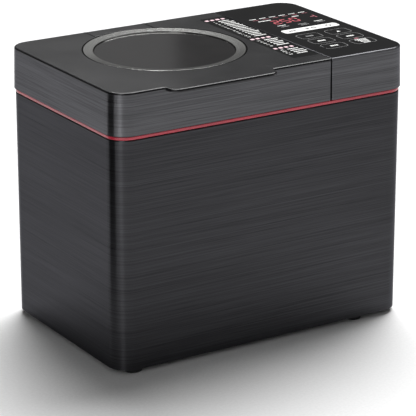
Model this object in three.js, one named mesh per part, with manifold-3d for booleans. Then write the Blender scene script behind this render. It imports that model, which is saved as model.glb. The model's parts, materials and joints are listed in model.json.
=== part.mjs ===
// A bread machine with its control panel on the right: a brushed steel case on four feet, a hinged
// lid with a round window, and, inside, a baking chamber with a lift-out pan, a kneading paddle and
// the belt drive that turns it. Millimetres, +Z up, the front faces -Y. The origin is the centre of
// the rectangle that the whole machine fills, on the surface that it stands on.
import * as THREE from 'three';
import { mergeVertices } from 'three/addons/utils/BufferGeometryUtils.js';
import Module from 'manifold-3d';

const wasm = await Module();
wasm.setup();

// ---- driving dimensions ----
const width = 365;             // over the head
const headDepth = 236;         // head, without the lid's lip
const lipReach = 13.6;         // how far the lid's finger lip stands out in front
const topHeight = 305.7;       // feet to the top of the lid
const footHeight = 5;
const headCornerRadius = 23.2;
const caseInset = 1.5;         // the case is this much smaller than the head on every side
const caseTop = 255.7;
const trimHeight = 3.4;        // red band between case and head
const trimWall = 3;
const headBottom = 260;
const topThickness = 3.4;      // moulded lid top
const wall = 2.4;              // moulded walls
const skirtWall = 1.4;         // brushed sides of lid and panel
const sheet = 1;               // sheet steel
const gap = 0.3;               // between pieces that touch
const seamX = 81.5;            // joint line between lid and control panel
const seamGap = 1.2;
const windowX = -47;
const windowY = 18;
const ringRadius = 88;         // outside of the window's ring
const glassRadius = 76;
const panX = -47;              // drive axis, and centre of pan and chamber
const panY = 12;
const chamberHalfX = 102;
const chamberHalfY = 92;
const chamberCorner = 14;
const chamberFloor = 84;
const chamberTop = 256;
const panBottom = 100;
const panRim = 222;
const hingeInset = 8;          // hinge axis, in front of the head's back face
const hingeHeight = 270;
const handlePivotZ = 227;
const handleReach = 50;
const motorX = 125;
const beltZ = 36;              // middle of the belt
const largePulleyRadius = 54;
const smallPulleyRadius = 9;   // 6 turns of the motor to one of the paddle
const shaftRadius = 3.8;
const shaftBore = 4.1;
const motorShaftBore = 3.3;

// ---- places worked out from them ----
const left = -width / 2;
const right = width / 2;
const back = (headDepth + lipReach) / 2;
const front = back - headDepth;
const lipFront = front - lipReach;
const caseLeft = left + caseInset;
const caseRight = right - caseInset;
const caseFront = front + caseInset;
const caseBack = back - caseInset;
const caseRadius = headCornerRadius - caseInset;
const hingeY = back - hingeInset;
const lidRight = seamX - seamGap / 2;
const panelLeft = seamX + seamGap / 2;
const topBottom = topHeight - topThickness;
const baseTop = footHeight + 3 + gap;
const deckTop = caseTop + gap + trimHeight;

// ---- finishes ----
const finish = (color, roughness, metalness) =>
  new THREE.MeshStandardMaterial({ color, roughness, metalness });
const brushed = finish(0x45454a, 0.35, 0.8);
const lidBlack = finish(0x3c3c40, 0.45, 0);
const glossBlack = finish(0x17171a, 0.12, 0);
const red = finish(0xb93347, 0.35, 0);
const steel = finish(0xb8b9bb, 0.3, 0.9);
const zinc = finish(0x9a9c9e, 0.5, 0.8);
const darkPlastic = finish(0x202022, 0.6, 0);
const rubber = finish(0x161616, 0.85, 0);
const tintedGlass = finish(0x1b1a1e, 0.08, 0);
const nonStick = finish(0x3a3a3c, 0.45, 0.2);
const board = finish(0x1f5a35, 0.6, 0);
const copperFace = finish(0x8f3a2e, 0.4, 0.6);
const silicone = finish(0xc9c4ba, 0.7, 0);
const ceramic = finish(0xe4ded2, 0.6, 0);

const machine = new THREE.Group();

// ---- helpers ----
function signedVolume(geometry) {
  const p = geometry.attributes.position;
  const index = geometry.index;
  const [a, b, c] = [new THREE.Vector3(), new THREE.Vector3(), new THREE.Vector3()];
  let volume = 0;
  for (let i = 0; i < index.count; i += 3) {
    a.fromBufferAttribute(p, index.getX(i));
    b.fromBufferAttribute(p, index.getX(i + 1));
    c.fromBufferAttribute(p, index.getX(i + 2));
    volume += a.dot(b.cross(c)) / 6;
  }
  return volume;
}

// merged vertices, no triangle without area, faces out
function closed(source) {
  const bare = source.clone();
  for (const name of Object.keys(bare.attributes)) {
    if (name !== 'position') bare.deleteAttribute(name);
  }
  const geometry = mergeVertices(bare, 1e-4);
  const index = Array.from(geometry.index.array);
  const kept = [];
  for (let i = 0; i < index.length; i += 3) {
    const [a, b, c] = index.slice(i, i + 3);
    if (a !== b && b !== c && c !== a) kept.push(a, b, c);
  }
  geometry.setIndex(kept);
  if (signedVolume(geometry) < 0) {
    for (let i = 0; i < kept.length; i += 3) [kept[i + 1], kept[i + 2]] = [kept[i + 2], kept[i + 1]];
    geometry.setIndex(kept);
  }
  return geometry;
}

function toSolid(source) {
  const geometry = closed(source);
  return new wasm.Manifold(new wasm.Mesh({
    numProp: 3,
    vertProperties: new Float32Array(geometry.attributes.position.array),
    triVerts: new Uint32Array(geometry.index.array),
  }));
}

function toGeometry(solid) {
  const mesh = solid.getMesh();
  const geometry = new THREE.BufferGeometry();
  const places = new Float32Array(mesh.vertProperties);
  geometry.setAttribute('position', new THREE.BufferAttribute(places, 3));
  geometry.setIndex(Array.from(mesh.triVerts));
  return geometry;
}

function cut(base, ...tools) {
  return toGeometry(tools.reduce((solid, tool) => solid.subtract(toSolid(tool)), toSolid(base)));
}

function join(base, ...others) {
  return toGeometry(others.reduce((solid, other) => solid.add(toSolid(other)), toSolid(base)));
}

function add(name, geometry, material) {
  const mesh = new THREE.Mesh(closed(geometry), material);
  mesh.name = name;
  machine.add(mesh);
}

// a rectangle with its own radius at each corner: front left, front right, back right, back left
function outline(x0, x1, y0, y1, radii) {
  const [fl, fr, br, bl] = Array.isArray(radii) ? radii : [radii, radii, radii, radii];
  const shape = new THREE.Shape();
  shape.moveTo(x0 + fl, y0);
  shape.lineTo(x1 - fr, y0);
  if (fr > 0) shape.absarc(x1 - fr, y0 + fr, fr, -Math.PI / 2, 0);
  shape.lineTo(x1, y1 - br);
  if (br > 0) shape.absarc(x1 - br, y1 - br, br, 0, Math.PI / 2);
  shape.lineTo(x0 + bl, y1);
  if (bl > 0) shape.absarc(x0 + bl, y1 - bl, bl, Math.PI / 2, Math.PI);
  shape.lineTo(x0, y0 + fl);
  if (fl > 0) shape.absarc(x0 + fl, y0 + fl, fl, Math.PI, Math.PI * 1.5);
  return shape;
}

function prism(shape, z0, z1, curveSegments = 4) {
  const options = { depth: z1 - z0, bevelEnabled: false, curveSegments };
  return new THREE.ExtrudeGeometry(shape, options).translate(0, 0, z0);
}

// the same outline, smaller by the wall on every side, is left out of the middle
function frame(x0, x1, y0, y1, radii, thickness, z0, z1) {
  const list = Array.isArray(radii) ? radii : [radii, radii, radii, radii];
  const shape = outline(x0, x1, y0, y1, list);
  const inner = list.map((r) => Math.max(r - thickness, 0));
  shape.holes.push(outline(x0 + thickness, x1 - thickness, y0 + thickness, y1 - thickness, inner));
  return prism(shape, z0, z1);
}

function block(x0, x1, y0, y1, z0, z1) {
  const geometry = new THREE.BoxGeometry(x1 - x0, y1 - y0, z1 - z0);
  return geometry.translate((x0 + x1) / 2, (y0 + y1) / 2, (z0 + z1) / 2);
}

// turned solid: [radius, height] points, about the vertical through x, y
function turned(x, y, profile, segments = 24) {
  const points = profile.map(([r, z]) => new THREE.Vector2(r, z));
  if (profile[0][0] > 0) points.push(points[0].clone());
  return new THREE.LatheGeometry(points, segments).rotateX(Math.PI / 2).translate(x, y, 0);
}

const disc = (x, y, r, z0, z1, segments) =>
  turned(x, y, [[0, z0], [r, z0], [r, z1], [0, z1]], segments);
const tube = (x, y, inner, outer, z0, z1, segments) =>
  turned(x, y, [[inner, z0], [outer, z0], [outer, z1], [inner, z1]], segments);

function sleeveY(x, z, inner, outer, y0, y1) {
  return tube(0, 0, inner, outer, y0, y1, 16).rotateX(-Math.PI / 2).translate(x, 0, z);
}

function rodX(x0, x1, y, z, r, segments = 14) {
  return new THREE.CylinderGeometry(r, r, x1 - x0, segments).rotateZ(Math.PI / 2)
    .translate((x0 + x1) / 2, y, z);
}

function rodY(y0, y1, x, z, r, segments = 14) {
  return new THREE.CylinderGeometry(r, r, y1 - y0, segments).translate(x, (y0 + y1) / 2, z);
}

// round bar along a curve
function bar(curve, r, steps, sides = 10) {
  const section = new THREE.Shape();
  section.absarc(0, 0, r, 0, Math.PI * 2);
  const options = { steps, extrudePath: curve, curveSegments: sides, bevelEnabled: false };
  return new THREE.ExtrudeGeometry(section, options);
}

// ---- case ----
function addCase() {
  const vent = { x0: 96, x1: 152, low: 168, high: 3.2, pitch: 8, count: 8 };
  const gland = { x: 150, z: 34, bore: 3.6, neck: 7, flange: 10 };
  const shell = frame(caseLeft, caseRight, caseFront, caseBack, caseRadius, sheet, footHeight, caseTop);
  const slots = [];
  for (let row = 0; row < vent.count; row += 1) {
    const z = vent.low + row * vent.pitch;
    slots.push(block(vent.x0, vent.x1, caseBack - 3, caseBack + 1, z, z + vent.high));
  }
  const glandHole = rodY(caseBack - 4, caseBack + 1, gland.x, gland.z, gland.neck + gap);
  add('body_wrap', cut(shell, ...slots, glandHole), brushed);
  add('cord_gland', join(sleeveY(gland.x, gland.z, gland.bore, gland.neck, back - 22, back),
    sleeveY(gland.x, gland.z, gland.bore, gland.flange, caseBack + gap, back)), rubber);

  const inset = sheet + gap;
  const basePlate = outline(caseLeft + inset, caseRight - inset, caseFront + inset, caseBack - inset,
    caseRadius - inset);
  const airSlots = [];
  for (let i = 0; i < 9; i += 1) {
    const x = motorX - 33 + i * 8;
    airSlots.push(block(x, x + 3.4, panY - 32, panY + 32, 0, 12));
  }
  add('base_pan', cut(prism(basePlate, footHeight + gap, baseTop), ...airSlots), darkPlastic);

  const footX = { left: left + 25, right: left + 306 };
  const footY = { front: front + 13.5, rear: back - 15 };
  const footProfile = [[0, 0], [9, 0], [10, 1.2], [10, footHeight], [0, footHeight]];
  for (const [end, y] of Object.entries(footY)) {
    for (const [side, x] of Object.entries(footX)) {
      add(`foot_${end}_${side}`, turned(x, y, footProfile, 20), rubber);
    }
  }

  add('trim_band', frame(caseLeft, caseRight, caseFront, caseBack, caseRadius, trimWall,
    caseTop + gap, deckTop), red);

  const deckInset = trimWall + gap;
  const deckOutline = outline(caseLeft + deckInset, caseRight - deckInset, caseFront + deckInset,
    caseBack - deckInset, caseRadius - deckInset);
  deckOutline.holes.push(outline(panX - chamberHalfX - gap, panX + chamberHalfX + gap,
    panY - chamberHalfY - gap, panY + chamberHalfY + gap, chamberCorner));
  add('top_deck', prism(deckOutline, caseTop - 5.7, deckTop), darkPlastic);
}

// ---- baking chamber ----
function addChamber() {
  const x0 = panX - chamberHalfX;
  const x1 = panX + chamberHalfX;
  const y0 = panY - chamberHalfY;
  const y1 = panY + chamberHalfY;
  const elementZ = 94;
  const terminalY = [panY - 12, panY + 12];
  const sensor = { x: panX + 40, z: 140, r: 3.1 };
  const outer = prism(outline(x0, x1, y0, y1, chamberCorner), chamberFloor, chamberTop);
  const inside = prism(outline(x0 + sheet, x1 - sheet, y0 + sheet, y1 - sheet, chamberCorner - sheet),
    chamberFloor + sheet, chamberTop + 1);
  const shaftHole = disc(panX, panY, 22, chamberFloor - 1, chamberFloor + 3);
  const terminalHoles = terminalY.map((y) => rodX(x1 - 3, x1 + 1, y, elementZ, 5.4));
  const sensorHole = rodY(y1 - 3, y1 + 1, sensor.x, sensor.z, sensor.r + gap);
  add('baking_chamber', cut(outer, inside, shaftHole, ...terminalHoles, sensorHole), steel);

  // rod element round the chamber, just above the floor, with both ends out through the right wall
  const loop = { left: -91, right: 86, half: 79, bend: 22, endX: 91, endY: 12, wallX: 96 };
  const path = new THREE.CurvePath();
  const at = (x, y) => new THREE.Vector3(panX + x, panY + y, elementZ);
  const line = (a, b) => path.add(new THREE.LineCurve3(a, b));
  const corner = (a, b, c) => path.add(new THREE.QuadraticBezierCurve3(a, b, c));
  const { bend, half, endX, endY } = loop;
  line(at(loop.wallX, endY), at(endX, endY));
  corner(at(endX, endY), at(loop.right, endY), at(loop.right, endY + 8));
  line(at(loop.right, endY + 8), at(loop.right, half - bend));
  corner(at(loop.right, half - bend), at(loop.right, half), at(loop.right - bend, half));
  line(at(loop.right - bend, half), at(loop.left + bend, half));
  corner(at(loop.left + bend, half), at(loop.left, half), at(loop.left, half - bend));
  line(at(loop.left, half - bend), at(loop.left, bend - half));
  corner(at(loop.left, bend - half), at(loop.left, -half), at(loop.left + bend, -half));
  line(at(loop.left + bend, -half), at(loop.right - bend, -half));
  corner(at(loop.right - bend, -half), at(loop.right, -half), at(loop.right, bend - half));
  line(at(loop.right, bend - half), at(loop.right, -endY - 8));
  corner(at(loop.right, -endY - 8), at(loop.right, -endY), at(endX, -endY));
  line(at(endX, -endY), at(loop.wallX, -endY));
  add('heating_element', bar(path, 3.2, 60, 2), steel);
  terminalY.forEach((y, i) => {
    const name = `element_terminal_${i === 0 ? 'front' : 'rear'}`;
    const sleeve = rodX(panX + loop.wallX + gap, x1 + 16, y, elementZ, 5);
    add(name, join(sleeve, rodX(x1 + gap, x1 + 6, y, elementZ, 8)), ceramic);
  });

  add('temperature_sensor', join(rodY(y1 - 8, y1 + 12, sensor.x, sensor.z, sensor.r),
    rodY(y1 + gap, y1 + 4, sensor.x, sensor.z, 7)), steel);

  const floorTop = chamberFloor + sheet;
  const socketProfile = [[37, floorTop + gap], [48, floorTop + gap], [48, floorTop + 2.5],
    [41, floorTop + 2.5], [41, 96], [37, 96]];
  add('pan_socket', turned(panX, panY, socketProfile), zinc);
}

// ---- drive: motor, belt, shaft ----
function addDrive() {
  const plateZ = 62;
  const legs = [];
  for (const x of [-134, 158]) {
    for (const y of [-66, 84]) {
      legs.push(block(x - 5, x + 5, y - 5, y + 5, baseTop + gap, plateZ + 1));
    }
  }
  const deck = cut(block(-140, 164, -72, 90, plateZ, plateZ + 2), disc(panX, panY, 14.6, 0, 100),
    disc(motorX, panY, 12, 0, 100));
  add('chassis_frame', join(deck, ...legs), zinc);

  const plateTop = plateZ + 2 + gap;
  const bushRadius = 6.1;
  const bushBore = bushRadius + gap;
  const housingProfile = [[bushBore, 54], [14, 54], [14, plateTop], [28, plateTop],
    [28, plateTop + 3], [18, plateTop + 6], [18, chamberFloor - gap], [bushBore, chamberFloor - gap]];
  add('bearing_housing', turned(panX, panY, housingProfile), zinc);
  for (const [name, z] of [['lower', 54], ['upper', 76]]) {
    add(`${name}_shaft_bush`, tube(panX, panY, shaftBore, bushRadius, z, z + 7.4, 24), copperFace);
  }
  add('drive_shaft', disc(panX, panY, shaftRadius, 22, 90, 20), steel);
  const drivenEar = (x0, x1) => block(x0, x1, panY - 3, panY + 3, 91, 97.5);
  add('drive_coupling', join(tube(panX, panY, shaftBore, 15, 87, 91.6),
    drivenEar(panX - 14, panX - 7), drivenEar(panX + 7, panX + 14)), zinc);

  const half = 5;
  const rimTop = beltZ + half + gap;
  const rimLow = beltZ - half - gap;
  const flange = 1.3;
  const wheel = (hole, hub, r) => [[hole, rimLow - 3.7], [hub, rimLow - 3.7], [hub, rimLow - flange],
    [r + 3, rimLow - flange], [r + 3, rimLow], [r, rimLow], [r, rimTop], [r + 3, rimTop],
    [r + 3, rimTop + flange], [hole, rimTop + flange]];
  const webHoles = [];
  for (let i = 0; i < 5; i += 1) {
    const angle = (i * Math.PI * 2) / 5;
    webHoles.push(disc(panX + 32 * Math.cos(angle), panY + 32 * Math.sin(angle), 12, 0, 60, 10));
  }
  const largeWheel = turned(panX, panY, wheel(shaftBore, 14, largePulleyRadius), 36);
  add('large_pulley', cut(largeWheel, ...webHoles), darkPlastic);
  add('motor_pulley', turned(motorX, panY, wheel(motorShaftBore, 7, smallPulleyRadius), 20), steel);

  const beltLoop = (offset) => {
    const big = largePulleyRadius + offset;
    const small = smallPulleyRadius + offset;
    const lean = Math.acos((big - small) / (motorX - panX));
    const shape = new THREE.Shape();
    shape.absarc(panX, panY, big, lean, Math.PI * 2 - lean);
    shape.absarc(motorX, panY, small, -lean, lean);
    return shape;
  };
  const belt = beltLoop(gap + 1.8);
  belt.holes.push(beltLoop(gap));
  add('drive_belt', prism(belt, beltZ - half, beltZ + half, 12), rubber);

  add('motor_shaft', disc(motorX, panY, 3, beltZ - 8, 96, 20), steel);
  const motorProfile = [[motorShaftBore, plateTop + 2.6], [30, plateTop + 2.6], [36, plateTop + 9],
    [36, 128], [28, 136], [12, 136], [12, 142], [0, 142], [0, 98], [motorShaftBore, 98]];
  add('motor', turned(motorX, panY, motorProfile), zinc);
  const bracket = block(motorX - 44, motorX + 36, panY - 40, panY + 40, plateTop, plateTop + 2);
  add('motor_bracket', cut(bracket, disc(motorX, panY, 12, 0, 100)), steel);
  add('motor_capacitor', disc(motorX + 17, panY - 102, 13, baseTop + gap, 66, 24), darkPlastic);
}

// ---- pan, handle and paddle ----
function addPan() {
  const pan = { halfX: 82, halfY: 66, corner: 26, thickness: 2, taper: 0.94, rim: 3 };
  const loft = (halfX, halfY, corner, z0, z1) => {
    const geometry = prism(outline(-halfX, halfX, -halfY, halfY, corner), 0, z1 - z0);
    const p = geometry.attributes.position;
    for (let i = 0; i < p.count; i += 1) {
      const k = pan.taper + ((1 - pan.taper) * p.getZ(i)) / (z1 - z0);
      p.setXY(i, p.getX(i) * k, p.getY(i) * k);
    }
    return geometry.translate(panX, panY, z0);
  };
  const rimX = pan.halfX + pan.rim;
  const rimY = pan.halfY + pan.rim;
  const rim = prism(outline(panX - rimX, panX + rimX, panY - rimY, panY + rimY, pan.corner + pan.rim),
    panRim - 2.4, panRim);
  const hollow = loft(pan.halfX - pan.thickness, pan.halfY - pan.thickness, pan.corner - pan.thickness,
    panBottom + pan.thickness, panRim + 1);
  const body = join(loft(pan.halfX, pan.halfY, pan.corner, panBottom, panRim), rim);
  add('bread_pan', cut(body, hollow, disc(panX, panY, 9.4, 90, 110, 24)), nonStick);
  const baseProfile = [[22, 88], [34, 88], [36, 90], [36, panBottom - gap], [20, panBottom - gap],
    [20, 96.5], [22, 96.5]];
  add('pan_base', turned(panX, panY, baseProfile), zinc);
  const seat = panBottom + pan.thickness + gap;
  const bushProfile = [[shaftBore, 98.3], [9, 98.3], [9, seat], [12, seat], [10, seat + 3.7],
    [shaftBore, seat + 3.7]];
  add('pan_bush', turned(panX, panY, bushProfile, 24), copperFace);

  // ears stand on the rim and carry the ends of the bail
  const earX = pan.halfX + 4.3;
  const earWidth = 1.8;
  const notch = block(panX - rimX - gap, panX + rimX + gap, panY - 20, panY + 20, 0, panRim + gap);
  for (const [side, sign] of [['left', -1], ['right', 1]]) {
    const outside = panX + sign * earX;
    const [x0, x1] = [outside, outside - sign * earWidth].sort((a, b) => a - b);
    const plate = block(x0, x1, panY - 7, panY + 7, panRim - 12, handlePivotZ + 5);
    const hole = rodX(x0 - 2, x1 + 2, panY, handlePivotZ, 2.5, 16);
    add(`handle_ear_${side}`, cut(plate, hole, notch), steel);
  }
  // bail: half an ellipse lying forward over the pan, its ends turned out through the ears
  const bow = new THREE.CurvePath();
  const reachX = pan.halfX - 3;
  const bowSteps = 16;
  const points = [];
  for (let i = 0; i <= bowSteps; i += 1) {
    const t = (Math.PI * i) / bowSteps;
    const x = panX - reachX * Math.cos(t);
    points.push(new THREE.Vector3(x, panY - handleReach * Math.sin(t), handlePivotZ));
  }
  points.unshift(new THREE.Vector3(panX - earX - 3, panY, handlePivotZ));
  points.push(new THREE.Vector3(panX + earX + 3, panY, handlePivotZ));
  for (let i = 1; i < points.length; i += 1) bow.add(new THREE.LineCurve3(points[i - 1], points[i]));
  add('pan_handle', bar(bow, 2.1, 56, 2), steel);
}

function addPaddle() {
  add('pan_shaft', disc(panX, panY, shaftRadius, 92.6, 122, 20), steel);
  const wingBar = (y0, y1) => block(panX - 2.6, panX + 2.6, y0, y1, 92.4, 96.8);
  add('pan_coupling', join(tube(panX, panY, shaftBore, 6, 92.4, 97.8, 24),
    wingBar(panY + 5, panY + 14), wingBar(panY - 14, panY - 5)), zinc);
  const blade = new THREE.Shape();
  blade.moveTo(6, 0);
  blade.lineTo(46, 0);
  blade.quadraticCurveTo(50, 8, 44, 20);
  blade.quadraticCurveTo(24, 26, 6, 16);
  const thickness = 3.2;
  const turn = -0.6;
  const low = 107;
  const wing = new THREE.ExtrudeGeometry(blade, { depth: thickness, bevelEnabled: false, curveSegments: 6 })
    .rotateX(Math.PI / 2).translate(0, thickness / 2, 0).rotateZ(turn).translate(panX, panY, low);
  const hubProfile = [[shaftBore, low - 0.4], [10.5, low - 0.4], [7.6, low + 17], [shaftBore, low + 17]];
  add('kneading_paddle', join(turned(panX, panY, hubProfile, 24), wing), nonStick);
}

// ---- lid ----
const seamCorner = 1.5;
const hingeCover = { x0: -85.5, x1: -12.5, depth: 23.5 };
const hinge = { barrel: 4.4, pin: 2, half: 5, step: 10.4, knuckles: { left: -74, right: -24 } };
const strip = { x0: 48.5, x1: lidRight - 0.6, y0: back - 212, y1: back - 24, depth: 0.6 };

function addLid() {
  const radii = [headCornerRadius, seamCorner, seamCorner, headCornerRadius];
  const clearance = hingeHeight - headBottom - 0.2;
  const sweep = cut(block(left - 1, right, hingeY, back + 1, headBottom - 1, hingeHeight),
    rodX(left - 2, right + 1, hingeY, hingeHeight, clearance, 32));
  const coverSlot = block(hingeCover.x0 - gap, hingeCover.x1 + gap, back - hingeCover.depth - 0.5,
    back + 1, hingeHeight - 8, topHeight + 1);
  const skirt = frame(left, lidRight, front, back, radii, skirtWall, headBottom, topBottom - gap);
  add('lid_skirt', cut(skirt, sweep, coverSlot), brushed);

  const lip = { x0: left + 58, x1: left + 191, corner: 13, thickness: 3 };
  const top = prism(outline(left, lidRight, front, back, radii), topBottom, topHeight);
  const lipOutline = outline(lip.x0, lip.x1, lipFront, front + 20, [lip.corner, lip.corner, 0, 0]);
  const lipPlate = prism(lipOutline, topHeight - lip.thickness, topHeight);
  const ringHole = disc(windowX, windowY, ringRadius + 2 * gap, topBottom - 1, topHeight + 1, 64);
  const stripPocket = block(strip.x0 - 0.2, strip.x1 + 0.2, strip.y0 - 0.2, strip.y1 + 0.2,
    topHeight - strip.depth - gap, topHeight + 1);
  add('lid_top', cut(join(top, lipPlate), ringHole, stripPocket, coverSlot), lidBlack);
  const stripPlate = block(strip.x0, strip.x1, strip.y0, strip.y1, topHeight - strip.depth, topHeight);
  add('programme_strip', stripPlate, glossBlack);

  // the cover is an L: over the top, from the ring to the back edge, and down the back, with a notch
  // that clears each fixed knuckle when the lid is up
  const coverTop = block(hingeCover.x0, hingeCover.x1, back - hingeCover.depth, back, topBottom, topHeight);
  const coverBack = block(hingeCover.x0, hingeCover.x1, back - wall, back, hingeHeight - 5, topHeight);
  const notches = Object.values(hinge.knuckles).map((x) => block(x - hinge.half - 0.8,
    x + hinge.half + 0.8, back - wall - 1, back + 1, headBottom, hingeHeight + hinge.barrel + 1.2));
  add('hinge_cover', cut(join(coverTop, coverBack), ringHole, sweep, ...notches), lidBlack);

  const ring = { low: 298.9, inner: glassRadius + 0.4, flange: ringRadius + 4 };
  const ringProfile = [[ring.inner, ring.low], [ring.flange, ring.low], [ring.flange, topBottom - gap],
    [ringRadius, topBottom - gap], [ringRadius, topHeight - 0.3], [ringRadius - 0.6, topHeight],
    [ringRadius - 1.2, topHeight - 0.2], [ring.inner, topHeight - 1.6]];
  add('window_ring', turned(windowX, windowY, ringProfile, 64), steel);
  const paneTop = topHeight - 2.2;
  add('window_glass', disc(windowX, windowY, glassRadius, ring.low + 0.8, paneTop, 64), tintedGlass);

  // inner lid: pressed plate with a round well up to the window
  const inset = wall + gap + 0.4;
  const linerZ = headBottom + 2.4;
  const linerSheet = 1.2;
  const well = 79;
  const plate = prism(outline(left + inset, lidRight - inset, front + inset, hingeY - 10,
    [headCornerRadius - inset, 1, 1, 14]), linerZ, linerZ + linerSheet);
  const wellWall = disc(windowX, windowY, well + linerSheet, linerZ, ring.low - gap, 48);
  const wellHole = disc(windowX, windowY, well, linerZ - 1, ring.low + 1, 48);
  add('lid_liner', cut(join(plate, wellWall), wellHole), steel);
  add('inner_glass', disc(windowX, windowY, well - gap, 291, 294, 48), tintedGlass);
  add('lid_gasket', frame(panX - chamberHalfX - 9, panX + chamberHalfX + 9, panY - chamberHalfY - 9,
    panY + chamberHalfY + 1.6, chamberCorner, 5, deckTop + gap, linerZ - gap), silicone);
}

// ---- hinge: two fixed knuckles on the deck, two arms on the lid, a pin through each pair ----
function addHinge() {
  const { barrel, pin, half, step } = hinge;
  for (const [side, x] of Object.entries(hinge.knuckles)) {
    const toMiddle = side === 'left' ? 1 : -1;
    const fixed = [x - half, x + half];
    const moving = [x + toMiddle * step - half, x + toMiddle * step + half];
    const bore = rodX(x - 30, x + 30, hingeY, hingeHeight, pin + 0.1, 16);
    const post = block(...fixed, hingeY - barrel, hingeY + barrel - 0.6, deckTop + gap, hingeHeight);
    const knuckle = join(post, rodX(...fixed, hingeY, hingeHeight, barrel));
    add(`hinge_knuckle_${side}`, cut(knuckle, bore), steel);
    // the arm hangs from the lid's top and turns about the pin
    const arm = block(...moving, hingeY - barrel, hingeY + 1, hingeHeight, topBottom - gap);
    add(`hinge_arm_${side}`, cut(join(arm, rodX(...moving, hingeY, hingeHeight, barrel)), bore), steel);
    const ends = [x - toMiddle * (half + 2), x + toMiddle * (step + half + 2)].sort((a, b) => a - b);
    add(`hinge_pin_${side}`, rodX(...ends, hingeY, hingeHeight, pin, 16), steel);
  }
}

// ---- control panel and electronics ----
function addPanel() {
  const radii = [seamCorner, headCornerRadius, headCornerRadius, seamCorner];
  const plateBottom = topHeight - 2.4;
  const housing = frame(panelLeft, right, front, back, radii, skirtWall, headBottom, plateBottom - gap);
  add('panel_housing', housing, brushed);
  const plate = prism(outline(panelLeft, right, front, back, radii), plateBottom, topHeight);
  add('panel_glass', plate, glossBlack);
  const displayZ = 288;
  const boardTop = displayZ + 1.6;
  add('display_board', block(panelLeft + 8, right - 9, front + 20, back - 30, displayZ, boardTop), board);
  const digits = block(106, 174, back - 90, back - 62, boardTop + gap, plateBottom - gap);
  add('display_module', digits, darkPlastic);
  const powerX = 164;
  add('power_board', block(powerX, powerX + 1.6, -40, 90, 120, 230), board);
  add('power_transformer', block(powerX - 32, powerX - gap, 10, 52, 172, 206), darkPlastic);
}

addCase();
addChamber();
addDrive();
addPan();
addPaddle();
addLid();
addHinge();
addPanel();

export default machine;
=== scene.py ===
# Bread machine: the finished surfaces, built round the fixed frame of the design.
import json
import math
import random

import bmesh
import bpy
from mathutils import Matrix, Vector


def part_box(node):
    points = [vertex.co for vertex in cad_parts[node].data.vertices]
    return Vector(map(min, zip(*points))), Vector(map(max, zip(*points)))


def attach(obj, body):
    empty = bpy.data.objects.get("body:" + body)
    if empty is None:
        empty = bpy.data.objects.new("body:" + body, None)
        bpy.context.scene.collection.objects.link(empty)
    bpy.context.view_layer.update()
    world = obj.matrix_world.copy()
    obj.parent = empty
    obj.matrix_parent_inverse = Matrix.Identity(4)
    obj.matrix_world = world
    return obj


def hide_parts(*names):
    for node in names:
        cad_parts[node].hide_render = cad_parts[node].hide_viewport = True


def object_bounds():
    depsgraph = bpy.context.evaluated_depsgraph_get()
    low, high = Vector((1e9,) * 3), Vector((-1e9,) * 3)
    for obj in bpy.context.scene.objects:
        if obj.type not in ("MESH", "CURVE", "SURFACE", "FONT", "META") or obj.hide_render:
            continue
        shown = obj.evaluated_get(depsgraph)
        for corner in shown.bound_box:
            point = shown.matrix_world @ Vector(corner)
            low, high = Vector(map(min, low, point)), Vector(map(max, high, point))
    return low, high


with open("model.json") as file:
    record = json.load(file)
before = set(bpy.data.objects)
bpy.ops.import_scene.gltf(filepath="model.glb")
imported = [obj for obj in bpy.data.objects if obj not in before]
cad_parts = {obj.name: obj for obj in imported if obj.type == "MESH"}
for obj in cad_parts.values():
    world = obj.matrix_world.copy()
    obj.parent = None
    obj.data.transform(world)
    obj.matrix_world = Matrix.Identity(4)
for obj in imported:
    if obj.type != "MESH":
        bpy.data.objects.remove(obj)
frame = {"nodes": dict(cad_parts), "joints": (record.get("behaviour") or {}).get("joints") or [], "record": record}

mm = 0.001  # everything below is in metres
scene = bpy.context.scene
designBox = [list(corner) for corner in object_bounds()]
nodes = frame["nodes"]
rng = random.Random(7)

# camera first: it stands to the front left, a little above the lid
cameraSetup = {
    "place": (-1.2920, -2.0593, 0.9623),
    "tilt": 70.933,  # degrees from straight down
    "turn": -32.033,  # degrees round the vertical
    "lens": 202.7,  # mm on a 36 mm sensor
}


def placeCamera():
    data = bpy.data.cameras.new("viewCamera")
    data.lens = cameraSetup["lens"]
    data.sensor_width = 36
    data.clip_end = 50
    view = bpy.data.objects.new("viewCamera", data)
    view.location = cameraSetup["place"]
    view.rotation_euler = (math.radians(cameraSetup["tilt"]), 0, math.radians(cameraSetup["turn"]))
    scene.collection.objects.link(view)
    scene.camera = view


placeCamera()
print("camera placed")


# colours and nodes
def linear(hexColour):
    channels = [int(hexColour[i:i + 2], 16) / 255 for i in (1, 3, 5)]
    return tuple(c / 12.92 if c <= 0.04045 else ((c + 0.055) / 1.055) ** 2.4 for c in channels) + (1,)


def addNode(tree, kind, settings=None, links=None):
    # settings are socket values or properties of the node; links join its sockets to their sources
    node = tree.nodes.new(kind)
    for key, value in (settings or {}).items():
        if key in node.inputs and not hasattr(type(node), key):
            node.inputs[key].default_value = value
        else:
            setattr(node, key, value)
    for socket, source in (links or {}).items():
        tree.links.new(source, node.inputs[socket])
    return node


def startMaterial(name, surface):
    # object coordinates are the frame's own metres, so a pattern keeps its real size
    material = bpy.data.materials.new(name)
    material.use_nodes = True
    tree = material.node_tree
    shader = tree.nodes["Principled BSDF"]
    for key, value in surface.items():
        shader.inputs[key].default_value = value
    place = addNode(tree, "ShaderNodeTexCoord").outputs["Object"]
    return material, tree, shader, place


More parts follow.
